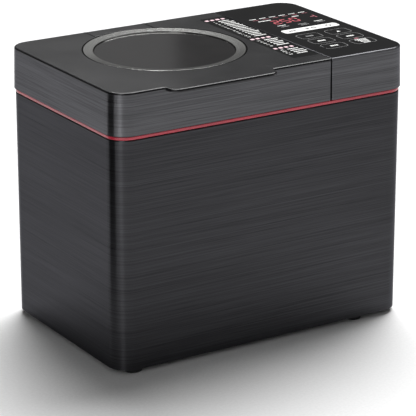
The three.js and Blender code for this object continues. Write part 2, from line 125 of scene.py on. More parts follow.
def finishSurface(tree, shader, look, shades, gloss=None, relief=None):
    # low parts of the pattern take the dark colour and the smoother gloss, high parts the other
    colour = addNode(tree, "ShaderNodeValToRGB", links={"Fac": shades})
    stops = zip(colour.color_ramp.elements, look.get("spread", (0.3, 0.7)), (look["dark"], look["light"]))
    for element, position, shade in stops:
        element.position = position
        element.color = linear(shade)
    tree.links.new(colour.outputs["Color"], shader.inputs["Base Color"])
    if gloss is not None:
        fromMin, fromMax = look.get("reach", (0, 1))
        toMin, toMax = look["roughness"]
        limits = {"From Min": fromMin, "From Max": fromMax, "To Min": toMin, "To Max": toMax}
        mapped = addNode(tree, "ShaderNodeMapRange", limits, {"Value": gloss})
        tree.links.new(mapped.outputs[0], shader.inputs["Roughness"])
    if relief is not None:
        bump = addNode(tree, "ShaderNodeBump", {"Strength": look["bump"], "Distance": look["depth"]},
                       {"Height": relief})
        tree.links.new(bump.outputs[0], shader.inputs["Normal"])


# finishes
brushedSetup = {
    "grainLength": 160 * mm,
    "grainHeight": 0.9 * mm,  # real grit marks are near 0.1 mm; drawn coarser so that they show
    "bandHeight": 34 * mm,
    "bandShare": 0.16,
    "anisotropy": 0.85,
    "spread": (0.38, 0.62),
    "reach": (0.3, 0.7),
    "roughness": (0.27, 0.36),
    "bump": 0.1,
    "depth": 0.04 * mm,
}


def brushedBlackSteel(name, dark, light):
    # black titanium-coated stainless, brushed sideways: fine level lines and an upright smear of light
    material, tree, shader, place = startMaterial(name, {
        "Metallic": 0.9, "Anisotropic": brushedSetup["anisotropy"], "Anisotropic Rotation": 0.25,
        "Specular Tint": (0.55, 0.55, 0.57, 1)})
    along = 1 / brushedSetup["grainLength"]
    fineScale = (along, along, 1 / brushedSetup["grainHeight"])
    wideScale = (along / 3, along / 3, 1 / brushedSetup["bandHeight"])
    fine = addNode(tree, "ShaderNodeMapping", {"Scale": fineScale}, {"Vector": place})
    wide = addNode(tree, "ShaderNodeMapping", {"Scale": wideScale}, {"Vector": place})
    fineLines = addNode(tree, "ShaderNodeTexNoise", {"Scale": 1, "Detail": 3, "Roughness": 0.8},
                        {"Vector": fine.outputs[0]})
    wideBands = addNode(tree, "ShaderNodeTexNoise", {"Scale": 1, "Detail": 3, "Roughness": 0.6},
                        {"Vector": wide.outputs[0]})
    both = addNode(tree, "ShaderNodeMix", {"data_type": "FLOAT", "Factor": brushedSetup["bandShare"]},
                   {"A": fineLines.outputs["Fac"], "B": wideBands.outputs["Fac"]})
    around = addNode(tree, "ShaderNodeTangent", {"direction_type": "RADIAL", "axis": "Z"})
    tree.links.new(around.outputs[0], shader.inputs["Tangent"])
    finishSurface(tree, shader, {**brushedSetup, "dark": dark, "light": light}, both.outputs[0],
                  fineLines.outputs["Fac"], fineLines.outputs["Fac"])
    return material


def mouldedPlastic(name, base, tint, roughness, grain, depth, coat=0.0, ior=1.5):
    # spark-eroded mould texture: a dull even surface that breaks up any highlight
    material, tree, shader, place = startMaterial(name, {
        "Roughness": roughness, "IOR": ior, "Coat Weight": coat, "Coat Roughness": 0.12})
    texture = addNode(tree, "ShaderNodeTexNoise", {"Scale": 1 / grain, "Detail": 2, "Roughness": 0.5},
                      {"Vector": place})
    cloud = addNode(tree, "ShaderNodeTexNoise", {"Scale": 1 / (40 * mm), "Detail": 2, "Roughness": 0.5},
                    {"Vector": place})
    look = {"dark": base, "light": tint, "roughness": (roughness - 0.04, roughness + 0.04), "bump": 0.3,
            "depth": depth}
    finishSurface(tree, shader, look, cloud.outputs["Fac"], cloud.outputs["Fac"], texture.outputs["Fac"])
    return material


def spunMetal(name, centre, dark, light, roughness, pitch=0.5 * mm):
    # turned on a lathe: rings of fine tool marks round one centre
    material, tree, shader, place = startMaterial(name, {"Metallic": 1.0, "Roughness": roughness})
    offset = addNode(tree, "ShaderNodeVectorMath", {"operation": "SUBTRACT"}, {0: place})
    offset.inputs[1].default_value = (centre[0], centre[1], 0)
    flat = addNode(tree, "ShaderNodeVectorMath", {"operation": "MULTIPLY"}, {0: offset.outputs[0]})
    flat.inputs[1].default_value = (1, 1, 0)
    radius = addNode(tree, "ShaderNodeVectorMath", {"operation": "LENGTH"}, {0: flat.outputs[0]})
    marks = addNode(tree, "ShaderNodeTexNoise", {"noise_dimensions": "1D", "Scale": 1 / pitch, "Detail": 4},
                    {"W": radius.outputs["Value"]})
    look = {"dark": dark, "light": light, "spread": (0.35, 0.65), "bump": 0.1, "depth": 0.02 * mm,
            "roughness": (roughness - 0.04, roughness + 0.06)}
    finishSurface(tree, shader, look, *[marks.outputs["Fac"]] * 3)
    return material


def plainMetal(name, dark, light, roughness, cell, stretch=(1, 1, 1), depth=0.05 * mm):
    # rolled, drawn or cast metal: its grain is stretched the way that it was worked
    material, tree, shader, place = startMaterial(name, {"Metallic": 1.0, "Roughness": roughness})
    stretched = addNode(tree, "ShaderNodeMapping", {"Scale": stretch}, {"Vector": place})
    grain = addNode(tree, "ShaderNodeTexNoise", {"Scale": 1 / cell, "Detail": 4, "Roughness": 0.6},
                    {"Vector": stretched.outputs[0]})
    look = {"dark": dark, "light": light, "roughness": (roughness - 0.06, roughness + 0.1), "bump": 0.25,
            "depth": depth}
    finishSurface(tree, shader, look, *[grain.outputs["Fac"]] * 3)
    return material


def glossPlate(name, base, tint, roughness):
    # polished acrylic printed black behind: a mirror-like skin over a black with no texture of its own
    material, tree, shader, place = startMaterial(name, {
        "Roughness": roughness, "IOR": 1.36, "Specular IOR Level": 0.3})
    haze = addNode(tree, "ShaderNodeTexNoise", {"Scale": 1 / (30 * mm), "Detail": 3, "Roughness": 0.5},
                   {"Vector": place})
    look = {"dark": base, "light": tint, "roughness": (roughness - 0.02, roughness + 0.03)}
    finishSurface(tree, shader, look, haze.outputs["Fac"], haze.outputs["Fac"])
    return material


def tintedGlass(name, dark, light):
    # smoked tempered glass: dark, with a clean hard reflection and a trace of what is under it
    material, tree, shader, place = startMaterial(name, {
        "Roughness": 0.12, "IOR": 1.54, "Transmission Weight": 0.35})
    haze = addNode(tree, "ShaderNodeTexNoise", {"Scale": 1 / (25 * mm), "Detail": 2, "Roughness": 0.5},
                   {"Vector": place})
    look = {"dark": dark, "light": light, "roughness": (0.1, 0.15)}
    finishSurface(tree, shader, look, haze.outputs["Fac"], haze.outputs["Fac"])
    return material


def printedInk(name, hexColour, glow=0.0):
    # screen-printed enamel: flat colour with the slight mottle of ink on plastic; the glow lights the LED
    # segments, and on plain print it is painted light
    material, tree, shader, place = startMaterial(name, {
        "Roughness": 0.45, "IOR": 1.5, "Emission Strength": glow, "Emission Color": linear(hexColour)})
    mottle = addNode(tree, "ShaderNodeTexNoise", {"Scale": 1 / (1.5 * mm), "Detail": 2, "Roughness": 0.5},
                     {"Vector": place})
    colour = addNode(tree, "ShaderNodeMix", {"data_type": "RGBA"}, {"Factor": mottle.outputs["Fac"]})
    colour.inputs[6].default_value = tuple(0.86 * c for c in linear(hexColour)[:3]) + (1,)
    colour.inputs[7].default_value = linear(hexColour)
    tree.links.new(colour.outputs[2], shader.inputs["Base Color"])
    return material


ringLow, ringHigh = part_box("window_ring")
ringCentre = (ringLow + ringHigh) / 2
materials = {  # by slot; head, seal and the inks are for some pieces of a slot; the head's lift, seal's black and the white and pink inks' glow are painted light and shade
    "brushed_case": brushedBlackSteel("blackTitaniumSteelCase", "#313133", "#454548"),
    # the head's copy of the case steel is lighter: painted light, for head sides that look brighter than the case
    "head": brushedBlackSteel("blackTitaniumSteelHead", "#454547", "#656568"),
    "lid_plastic": mouldedPlastic("satinCharcoalAbs", "#131315", "#18181a", 0.22, 0.7 * mm, 0.02 * mm,
                                  ior=1.36),
    "red_band": mouldedPlastic("redSatinAbs", "#a82236", "#bd2c40", 0.34, 0.8 * mm, 0.02 * mm, 0.4),
    "gloss_panel": glossPlate("blackPrintedAcrylic", "#09090a", "#0d0d0e", 0.12),
    "tinted_glass": tintedGlass("smokedTemperedGlass", "#121011", "#171415"),
    "ring_metal": spunMetal("spunAluminiumRing", ringCentre, "#9c9c99", "#dededb", 0.13),
    "dark_plastic": mouldedPlastic("mattBlackPolypropylene", "#141416", "#1c1c1f", 0.55, 0.9 * mm,
                                   0.05 * mm),
    "rubber_black": mouldedPlastic("blackMouldedRubber", "#0e0e0f", "#171718", 0.8, 1.2 * mm, 0.08 * mm),
    # near-black and barely reflective: painted shade for the dark gaps round the window and beside the hinge cover
    "seal": mouldedPlastic("blackFoamSeal", "#030303", "#060606", 0.9, 1.5 * mm, 0.05 * mm, ior=1.12),
    "bright_steel": plainMetal("bakedSheetSteel", "#9c9a95", "#c6c5c1", 0.3, 2 * mm, (1, 1, 9)),
    "cast_metal": plainMetal("dieCastAluminium", "#86878a", "#a9aaac", 0.5, 0.8 * mm, depth=0.12 * mm),
    "non_stick": mouldedPlastic("darkNonStickCoating", "#29292b", "#343437", 0.42, 0.5 * mm, 0.04 * mm,
                                0.15),
    "circuit_board": mouldedPlastic("greenSolderMask", "#14452a", "#1d5c37", 0.4, 3 * mm, 0.03 * mm, 0.3),
    "bronze": plainMetal("sinteredBronze", "#7c5a34", "#a9814f", 0.45, 0.6 * mm),
    "silicone": mouldedPlastic("paleSilicone", "#b9b4aa", "#cbc6bd", 0.6, 1.5 * mm, 0.03 * mm),
    "ceramic_white": mouldedPlastic("unglazedSteatite", "#ddd6c8", "#ece7db", 0.7, 0.6 * mm, 0.05 * mm),
    # the white and pink print glows: painted light that makes the ink read brighter
    "whiteInk": printedInk("whiteScreenInk", "#f4f4f2", 0.25),
    "greyInk": printedInk("greyScreenInk", "#8c8c8c"),
    "pinkInk": printedInk("palePinkScreenInk", "#f0cdd6", 0.15),
    "redInk": printedInk("redScreenInk", "#9c2440"),
    "redLight": printedInk("redLedSegment", "#b81c38", 0.25),
    "blackInk": printedInk("blackScreenInk", "#202022"),
}
print("materials made:", len(materials))


# mesh helpers
def outline(x0, x1, y0, y1, radii, steps=10):
    # a rectangle with its own corner radii: front left, front right, back right, back left
    frontLeft, frontRight, backRight, backLeft = radii if isinstance(radii, (list, tuple)) else [radii] * 4
    corners = [
        (x0 + frontLeft, y0 + frontLeft, frontLeft, 180),
        (x1 - frontRight, y0 + frontRight, frontRight, 270),
        (x1 - backRight, y1 - backRight, backRight, 0),
        (x0 + backLeft, y1 - backLeft, backLeft, 90),
    ]
    points = []
    for cx, cy, r, start in corners:
        for i in range(steps + 1):
            angle = math.radians(start + 90 * i / steps)
            points.append((cx + r * math.cos(angle), cy + r * math.sin(angle)))
    return points


def circle(cx, cy, r, steps=96):
    return [(cx + r * math.cos(2 * math.pi * i / steps), cy + r * math.sin(2 * math.pi * i / steps))
            for i in range(steps)]


def newPiece(name, points, faces):
    mesh = bpy.data.meshes.new(name)
    mesh.from_pydata(points, [], faces)
    work = bmesh.new()
    work.from_mesh(mesh)
    bmesh.ops.remove_doubles(work, verts=work.verts, dist=1e-7)
    bmesh.ops.dissolve_degenerate(work, edges=work.edges, dist=1e-7)
    bmesh.ops.recalc_face_normals(work, faces=work.faces)
    work.to_mesh(mesh)
    work.free()
    piece = bpy.data.objects.new(name, mesh)
    scene.collection.objects.link(piece)
    return piece


def loft(name, rings, closed=False):
    # rings are lists of 3-D points with the same count; closed joins the last ring to the first
    count = len(rings[0])
    points = [p for ring in rings for p in ring]
    faces = []
    last = len(rings) if closed else len(rings) - 1
    for k in range(last):
        a, b = k * count, ((k + 1) % len(rings)) * count
        for i in range(count):
            j = (i + 1) % count
            faces.append((a + i, a + j, b + j, b + i))
    if not closed:
        faces.append(tuple(range(count)))
        faces.append(tuple((len(rings) - 1) * count + i for i in range(count)))
    return newPiece(name, points, faces)


def prism(name, points, z0, z1):
    return loft(name, [[(x, y, z0) for x, y in points], [(x, y, z1) for x, y in points]])


def walled(name, box, radii, section, steps=10):
    # sweeps a closed section of (inset, height) points round a rounded rectangle
    (x0, y0), (x1, y1) = box
    rings = []
    for inset, z in section:
        shrunk = [max(r - inset, 0.05 * mm) for r in radii]
        around = outline(x0 + inset, x1 - inset, y0 + inset, y1 - inset, shrunk, steps)
        rings.append([(x, y, z) for x, y in around])
    return loft(name, rings, closed=True)


def fillet(inset, z, r, start, steps=5):
    # quarter circle about (inset, z); it starts outwards at 0 and upwards at 90
    points = []
    for i in range(steps + 1):
        angle = math.radians(start + 90 * i / steps)
        points.append((inset - r * math.cos(angle), z + r * math.sin(angle)))
    return points


def turned(name, centre, profile, steps=96):
    # closed profile of (radius, height) about the vertical through centre
    rings = []
    for k in range(steps):
        angle = 2 * math.pi * k / steps
        east, north = math.cos(angle), math.sin(angle)
        rings.append([(centre[0] + r * east, centre[1] + r * north, z) for r, z in profile])
    return loft(name, rings, closed=True)


def applyModifiers(piece):
    graph = bpy.context.evaluated_depsgraph_get()
    mesh = bpy.data.meshes.new_from_object(piece.evaluated_get(graph))
    piece.modifiers.clear()
    piece.data = mesh


def combine(piece, operation, *tools):
    for tool in tools:
        change = piece.modifiers.new("combine", "BOOLEAN")
        change.operation = operation
        change.solver = "EXACT"
        change.object = tool
    applyModifiers(piece)
    for tool in tools:
        bpy.data.objects.remove(tool)


def cutAway(piece, *tools):
    combine(piece, "DIFFERENCE", *tools)


def softenEdges(piece, width, segments=2, angle=60):
    bevel = piece.modifiers.new("bevel", "BEVEL")
    bevel.width = width
    bevel.segments = segments
    bevel.limit_method = "ANGLE"
    bevel.angle_limit = math.radians(angle)
    bevel.harden_normals = False
    applyModifiers(piece)


def dress(piece, body, slot, replaced=(), sharp=32, material=None):
    piece.data.materials.clear()
    piece.data.materials.append(materials[material or slot])
    piece.data.shade_smooth()
    piece.data.set_sharp_from_angle(angle=math.radians(sharp))
    level = piece.modifiers.new("level", "WEIGHTED_NORMAL")  # keeps large faces flat beside their fillets
    level.keep_sharp = True
    level.weight = 100
    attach(piece, body)
    if replaced:
        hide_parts(*replaced)
    return piece


def flatBox(node):
    low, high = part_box(node)
    return ((low.x, low.y), (high.x, high.y)), low.z, high.z


def slab(name, x0, x1, y0, y1, z0, z1, radius=0.0, steps=4):
    return prism(name, outline(x0, x1, y0, y1, max(radius, 0.02 * mm), steps), z0, z1)


def prismX(name, profile, x0, x1):
    # extrudes a (y, z) outline from left to right
    return loft(name, [[(x, y, z) for y, z in profile] for x in (x0, x1)])


def prismY(name, profile, y0, y1):
    # extrudes an (x, z) outline from front to back
    return loft(name, [[(x, y, z) for x, z in profile] for y in (y0, y1)])


def middleOf(node):
    low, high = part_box(node)
    return (low + high) / 2


# case, trim and feet
caseSetup = {
    "corner": 21.7 * mm,
    "sheet": 1.0 * mm,
    "topRound": 1.2 * mm,
    "hem": 3 * mm,
    "vents": 8,
    "ventPitch": 8 * mm,
    "ventLowest": 169.6 * mm,
    "ventEnds": (96 * mm, 152 * mm),
    "ventHalf": 1.6 * mm,
    "glandHole": 7.3 * mm,
}


def buildCase():
    box, z0, z1 = flatBox("body_wrap")
    r, t = caseSetup["topRound"], caseSetup["sheet"]
    section = [(0, z0)] + fillet(r, z1 - r, r, 0) + [
        (caseSetup["hem"], z1), (caseSetup["hem"], z1 - t), (t, z1 - t), (t, z0)]
    case = walled("caseShell", box, [caseSetup["corner"]] * 4, section, 14)
    back = (box[1][1] - 4 * mm, box[1][1] + 2 * mm)  # the cutters pass right through the rear wall
    half = caseSetup["ventHalf"]
    holes = []
    for row in range(caseSetup["vents"]):  # pressed slots beside the motor
        z = caseSetup["ventLowest"] + row * caseSetup["ventPitch"]
        holes.append(prismY(f"vent{row}", outline(*caseSetup["ventEnds"], z - half, z + half,
                                                  half - 0.01 * mm, 5), *back))
    gland = middleOf("cord_gland")
    holes.append(prismY("glandHole", circle(gland.x, gland.z, caseSetup["glandHole"], 24), *back))
    cutAway(case, *holes)
    dress(case, "case", "brushed_case", ["body_wrap"])


def buildTrim():
    box, z0, z1 = flatBox("trim_band")
    r = 0.7 * mm
    section = fillet(r, z0 + r, r, -90, 3) + fillet(r, z1 - r, r, 0, 3) + [(3 * mm, z1), (3 * mm, z0)]
    dress(walled("redTrimBand", box, [caseSetup["corner"]] * 4, section, 14), "case", "red_band",
          ["trim_band"])


def buildFeet():
    for node in sorted(n for n in nodes if n.startswith("foot_")):
        low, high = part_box(node)
        r = (high.x - low.x) / 2
        profile = [(0.05 * mm, 0.5 * mm), (r * 0.42, 0.5 * mm), (r * 0.5, 0), (r * 0.84, 0),
                   (r * 0.92, 0.4 * mm), (r * 0.97, 1.4 * mm), (r, 3 * mm), (r, high.z), (0.05 * mm, high.z)]
        name = "rubberFoot" + "".join(word.capitalize() for word in node.split("_")[1:])
        dress(turned(name, middleOf(node), profile, 48), "case", "rubber_black", [node])


# head: lid and control panel
headSetup = {
    "corner": 23.2 * mm,
    "seamCorner": 2.5 * mm,
    "draft": 1.0 * mm,
    "round": 1.9 * mm,
    "skin": 1.4 * mm,
}


def headOutline(x0, x1, y0, y1, seamSide, inset):
    # the side along the seam keeps its place, the other three move in
    radii = [headSetup["corner"]] * 4
    for i in ((1, 2) if seamSide == "right" else (0, 3)):
        radii[i] = headSetup["seamCorner"]
    radii = [max(r - inset, 0.3 * mm) for r in radii]
    left = x0 + (inset if seamSide == "right" else 0)
    right = x1 - (inset if seamSide == "left" else 0)
    return outline(left, right, y0 + inset, y1 - inset, radii, 12)


def headBlock(name, box, z0, z1, seamSide, topRound):
    (x0, y0), (x1, y1) = box
    draft = headSetup["draft"]
    levels = [(0.5 * mm, z0), (0.15 * mm, z0 + 0.15 * mm), (0, z0 + 0.5 * mm)]
    if topRound > 0:
        levels += fillet(draft + topRound, z1 - topRound, topRound, 0, 6)
    else:
        levels.append((draft, z1))
    rings = [[(x, y, z) for x, y in headOutline(x0, x1, y0, y1, seamSide, inset)] for inset, z in levels]
    return loft(name, rings)


def hollowOut(block, box, z0, z1, seamSide):
    (x0, y0), (x1, y1) = box
    skin = headSetup["skin"]
    seam = {"right": (0, skin), "left": (skin, 0)}[seamSide]
    points = headOutline(x0 + seam[0], x1 - seam[1], y0, y1, seamSide, skin + headSetup["draft"])
    cutAway(block, prism("hollow", points, z0, z1))


def hingeSweep(x0, x1):
    # what the lid's back lower edge loses so that it can turn about the hinge
    hinge = next(j for j in frame["joints"] if j["name"] == "lid_hinge")
    y, z = hinge["pos_m"][1:]
    r = 9.8 * mm
    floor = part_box("lid_skirt")[0].z - 1 * mm
    profile = [(y, floor), (y + 12 * mm, floor), (y + 12 * mm, z)] + fillet(y, z, r, 180, 16)
    return prismX("sweep", profile, x0, x1)


coverSetup = {"gap": 1.4 * mm, "thick": 2.4 * mm, "top": 3.4 * mm}


def coverSlot():
    low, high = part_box("hinge_cover")
    gap = coverSetup["gap"]
    return slab("slot", low.x - gap, high.x + gap, low.y - gap, high.y + 2 * mm, low.z - 3 * mm,
                high.z + 2 * mm)


def knuckleNotches():
    # room for the knuckles on the case when the lid stands open
    notches = []
    for low, high in (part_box(f"hinge_knuckle_{side}") for side in ("left", "right")):
        notches.append(slab("notch", low.x - 0.9 * mm, high.x + 0.9 * mm, low.y - 3 * mm, low.y + 20 * mm,
                            low.z - 3 * mm, high.z + 1.3 * mm))
    return notches


def buildLidSkirt():
    box, z0, _ = flatBox("lid_skirt")
    z1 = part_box("lid_top")[1].z - headSetup["round"] - 0.15 * mm
    skirt = headBlock("lidSkirt", box, z0, z1, "right", 0)
    hollowOut(skirt, box, z0 - 1 * mm, z1 + 1 * mm, "right")
    sweep = hingeSweep(box[0][0] - 1 * mm, box[1][0] + 1 * mm)
    cutAway(skirt, sweep, coverSlot(), *knuckleNotches())
    softenEdges(skirt, 0.25 * mm)
    dress(skirt, "lid", "brushed_case", ["lid_skirt"], material="head")


lipSetup = {"left": 58 * mm, "right": 191 * mm, "corner": 12.4 * mm, "root": 0.8 * mm, "thick": 2.8 * mm}


def lipPath(frontY, lipY, x0, inset, steps=8):
    # from left to right along the front edge, out round the lip and back
    left, right = x0 + lipSetup["left"] + inset, x0 + lipSetup["right"] - inset
    root, corner = lipSetup["root"] + inset, lipSetup["corner"] - inset
    y, tip = frontY + inset, lipY + inset
    arcs = [(left - root, y - root, root, 90, 0), (left + corner, tip + corner, corner, 180, 270),
            (right - corner, tip + corner, corner, 270, 360), (right + root, y - root, root, 180, 90)]
    path = []
    for cx, cy, r, a0, a1 in arcs:
        for i in range(steps + 1):
            angle = math.radians(a0 + (a1 - a0) * i / steps)
            path.append((cx + r * math.cos(angle), cy + r * math.sin(angle)))
    return path


def buildLidTop():
    skirt, _, _ = flatBox("lid_skirt")
    low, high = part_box("lid_top")
    (x0, y0), (x1, y1) = skirt
    draft, r = headSetup["draft"], headSetup["round"]
    under = high.z - r - 0.02 * mm
    rings = []
    for inset, z in [(draft + 0.05 * mm, under)] + fillet(draft + r, high.z - r, r, 0, 6):
        around = headOutline(x0, x1, y0, y1, "right", inset)
        count = len(around) // 4  # the lip goes in after the front left corner
        lip = lipPath(y0, low.y - draft, x0, inset)
        rings.append([(x, y, z) for x, y in around[:count] + lip + around[count:]])
    top = loft("lidTop", rings)
    inside = headOutline(x0, x1 - 1.8 * mm, y0, y1, "right", draft + 1.8 * mm)
    plug = prism("plug", inside, low.z, under + 0.5 * mm)
    inwards = 0.8 * mm
    left, right = x0 + lipSetup["left"] + inwards, x0 + lipSetup["right"] - inwards
    thick = slab("lipUnder", left, right, low.y + 0.1 * mm, y0 - 0.3 * mm, high.z - lipSetup["thick"],
                 under + 0.5 * mm)
    rounded = outline(left, right, low.y + 0.05 * mm, y0 + 20 * mm,
                      [lipSetup["corner"] - inwards] * 2 + [0.1 * mm] * 2, 8)
    combine(thick, "INTERSECT", prism("lipShape", rounded, high.z - 10 * mm, high.z))
    combine(top, "UNION", plug, thick)
    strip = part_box("programme_strip")
    pocket = slab("pocket", strip[0].x - 0.15 * mm, strip[1].x + 0.15 * mm, strip[0].y - 0.15 * mm,
                  strip[1].y + 0.15 * mm, strip[0].z - 0.1 * mm, strip[1].z + 2 * mm, 1.0 * mm)
    cutAway(top, ringCutter(), pocket, coverSlot())
    softenEdges(top, 0.22 * mm)
    dress(top, "lid", "lid_plastic", ["lid_top"])


def buildHingeCover():
    low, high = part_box("hinge_cover")
    draft, r, t = headSetup["draft"], headSetup["round"], coverSetup["thick"]
    back = high.y - draft
    shelf = high.z - coverSetup["top"]
    profile = [(low.y, high.z)] + fillet(back - r, high.z - r, r, 90, 6)
    profile += [(high.y - 0.1 * mm, low.z), (high.y - t, low.z), (high.y - t, shelf), (low.y, shelf)]
    cover = prismX("hingeCover", profile, low.x, high.x)
    cutAway(cover, ringCutter(), hingeSweep(low.x - 1 * mm, high.x + 1 * mm), *knuckleNotches())
    softenEdges(cover, 0.3 * mm)
    dress(cover, "lid", "lid_plastic", ["hinge_cover"])
    gap = coverSetup["gap"]
    half = gap / 2 + 0.1 * mm
    for side, x in (("Left", low.x - gap / 2), ("Right", high.x + gap / 2)):  # near-black lips fill the seams: painted shade that makes the seam lines dark
        seal = slab(f"coverSeamShade{side}", x - half, x + half, low.y, back - 0.6 * mm, high.z - 2.4 * mm,
                    high.z - 0.12 * mm)
        cutAway(seal, ringCutter())
        dress(seal, "lid", "rubber_black", material="seal")


def buildPanel():
    box, z0, _ = flatBox("panel_housing")
    (gx0, gy0), (gx1, gy1) = flatBox("panel_glass")[0]
    z1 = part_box("panel_glass")[1].z
    rim = headSetup["draft"] + headSetup["round"] + 0.5 * mm
    housing = headBlock("panelHousing", box, z0, z1, "left", headSetup["round"])
    hollowOut(housing, box, z0 - 1 * mm, z1 - 2.6 * mm, "left")
    recess = headOutline(gx0 + 1.1 * mm, gx1, gy0, gy1, "left", rim)
    cutAway(housing, prism("recess", recess, z1 - 5 * mm, z1 + 2 * mm))
    softenEdges(housing, 0.2 * mm)
    dress(housing, "case", "brushed_case", ["panel_housing"], material="head")
    plateOutline = headOutline(gx0 + 1.3 * mm, gx1, gy0, gy1, "left", rim + 0.2 * mm)
    plate = prism("panelPlate", plateOutline, z1 - 2.4 * mm, z1 - inkSetup["sunk"])
    softenEdges(plate, 0.3 * mm)
    dress(plate, "case", "gloss_panel", ["panel_glass"])


inkSetup = {"sunk": 0.12 * mm, "thick": 0.06 * mm}


def buildStrip():
    low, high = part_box("programme_strip")
    top = high.z - inkSetup["sunk"]
    strip = slab("programmeStrip", low.x, high.x, low.y, high.y, low.z, top, 0.9 * mm)
    softenEdges(strip, 0.12 * mm)
    dress(strip, "lid", "gloss_panel", ["programme_strip"])


# window
windowSetup = {
    "flange": 4 * mm,  # hidden under the lid
    "ledge": 2.6 * mm,  # the seal's lower step
    "joint": 0.7 * mm,  # the lid's hole is larger than the seal by this
    "seal": 0.9 * mm,
    "crest": [(0, 0.16), (0.1, 0.03), (0.2, 0), (0.7, 0.04)],  # millimetres in and down from the rim
    "dish": 1.0 * mm,
    "slopeSteps": 8,
    "glassEdge": 0.4 * mm,
}


def ringCutter():
    r = (ringHigh.x - ringLow.x) / 2 - windowSetup["flange"] + windowSetup["joint"]
    low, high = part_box("lid_top")
    return prism("ringHole", circle(ringCentre.x, ringCentre.y, r, 160), low.z - 2 * mm, high.z + 2 * mm)


def buildWindow():
    low, top = ringLow.z, ringHigh.z
    outer = (ringHigh.x - ringLow.x) / 2 - windowSetup["flange"]
    ledge, lip = low + windowSetup["ledge"], top - 0.2 * mm
    edges = [(-1.3, low), (4, low), (4, ledge), (0.1, ledge), (0.1, lip), (-0.95, lip), (-0.95, ledge),
             (-1.3, ledge)]
    # a near-black sleeve in the gap round the ring: painted shade for the dark gap line
    sleeve = turned("ringSeal", ringCentre, [(outer + beyond * mm, z) for beyond, z in edges])
    dress(sleeve, "lid", "rubber_black", [], 40, "seal")
    outer -= windowSetup["seal"]
    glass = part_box("window_glass")
    inner = (glass[1].x - glass[0].x) / 2 + 0.4 * mm
    step = low + 2.8 * mm
    profile = [(inner, low), (outer - 0.6 * mm, low), (outer - 0.6 * mm, step), (outer, step)]
    profile += [(outer - inwards * mm, top - down * mm) for inwards, down in windowSetup["crest"]]
    start, stop = outer - 0.7 * mm, inner + 0.3 * mm
    fall, dish, steps = top - 0.06 * mm, windowSetup["dish"], windowSetup["slopeSteps"]
    for k in range(1, steps + 1):  # the bright slope down to the glass
        profile.append((start + (stop - start) * k / steps, fall - dish * k / steps))
    profile.append((inner, fall - dish - 0.3 * mm))
    dress(turned("windowRing", ringCentre, profile, 160), "lid", "ring_metal", ["window_ring"], 25)
    edge = windowSetup["glassEdge"]
    for node, name in (("window_glass", "windowGlass"), ("inner_glass", "innerGlass")):
        low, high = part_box(node)
        r = (high.x - low.x) / 2
        profile = [(0.02 * mm, low.z), (r - edge, low.z), (r, low.z + edge), (r, high.z - edge),
                   (r - edge, high.z), (0.02 * mm, high.z)]
        dress(turned(name, middleOf(node), profile, 128), "lid", "tinted_glass", [node])


# printed marks
class Marks:
    # collects thin raised shapes of one ink, so that each ink is one piece
    def __init__(self, name, ink, body, z):
        self.name, self.ink, self.body, self.z = name, ink, body, z
        self.points, self.faces = [], []

    def shape(self, outlinePoints):
        height = inkSetup["thick"]
        start, count = len(self.points), len(outlinePoints)
        self.points += [(x, y, self.z) for x, y in outlinePoints]
        self.points += [(x, y, self.z + height) for x, y in outlinePoints]
        self.faces.append(tuple(start + i for i in reversed(range(count))))
        self.faces.append(tuple(start + count + i for i in range(count)))
        for i in range(count):
            j = (i + 1) % count
            self.faces.append((start + i, start + j, start + count + j, start + count + i))

    def bar(self, x, y, width, depth, radius=0.15 * mm, steps=2):
        radius = min(radius, width / 2.05, depth / 2.05)
        self.shape(outline(x - width / 2, x + width / 2, y - depth / 2, y + depth / 2, radius, steps))

    def frameLine(self, x, y, width, depth, radius, line):
        # a rounded outline drawn as a closed band
        w, h = width / 2, depth / 2
        outer = outline(x - w, x + w, y - h, y + h, radius, 6)
        inner = outline(x - w + line, x + w - line, y - h + line, y + h - line, radius - line, 6)
        count = len(outer)
        for i in range(count):
            j = (i + 1) % count
            self.shape([outer[i], outer[j], inner[j], inner[i]])

    def segments(self, x, y, width, depth, lit, line):
        # one digit of seven strokes, a to g, standing upright to someone at the front
        w, h, gap = width / 2, depth / 2, line * 0.12
        places = {"a": (0, h, 1), "g": (0, 0, 1), "d": (0, -h, 1), "f": (-w, h / 2, 0), "b": (w, h / 2, 0),
                  "e": (-w, -h / 2, 0), "c": (w, -h / 2, 0)}
        half = line / 2
        for key in lit:
            dx, dy, flat = places[key]
            reach = (w if flat else h / 2) - gap
            stroke = [(0, -reach), (half, -reach + half), (half, reach - half), (0, reach),
                      (-half, reach - half), (-half, -reach + half)]
            if flat:
                stroke = [(py, -px) for px, py in stroke]
            self.shape([(x + dx + px, y + dy + py) for px, py in stroke])

    def finish(self):
        piece = newPiece(self.name, self.points, self.faces)
        dress(piece, self.body, "gloss_panel", material=self.ink)


digitStrokes = {
    "0": "abcdef", "1": "bc", "2": "abged", "3": "abgcd", "4": "fgbc",
    "5": "afgcd", "6": "afgedc", "7": "abc", "8": "abcdefg", "9": "abcdfg",
}
stripMarks = {  # millimetres from the lid's back edge and from the strip's left edge
    "headers": (32, 125, 170),
    "headerAcross": (4.6, 11.5, 18.4, 25.3),
    "headerWidth": (4.0, 1.2),  # the least, and the most that chance adds
    "headerDepth": 4.6,
    "rows": ((40.5, 13, 6.1), (133.5, 5, 6.1), (178.5, 4, 6.1)),  # first row, how many, pitch
    "numberAcross": 8,
    "digitPitch": 2.6,
    "digit": (1.5, 2.9, 0.5),  # width, height and stroke
    "nameAcross": 14.5,
    "nameEnd": (27, 3.5),
    "dashWidth": (1.0, 1.3),
    "dashHeight": (2.1, 0.6),
    "dashGap": 0.5,
}


def byChance(least, added):
    return (least + added * rng.random()) * mm


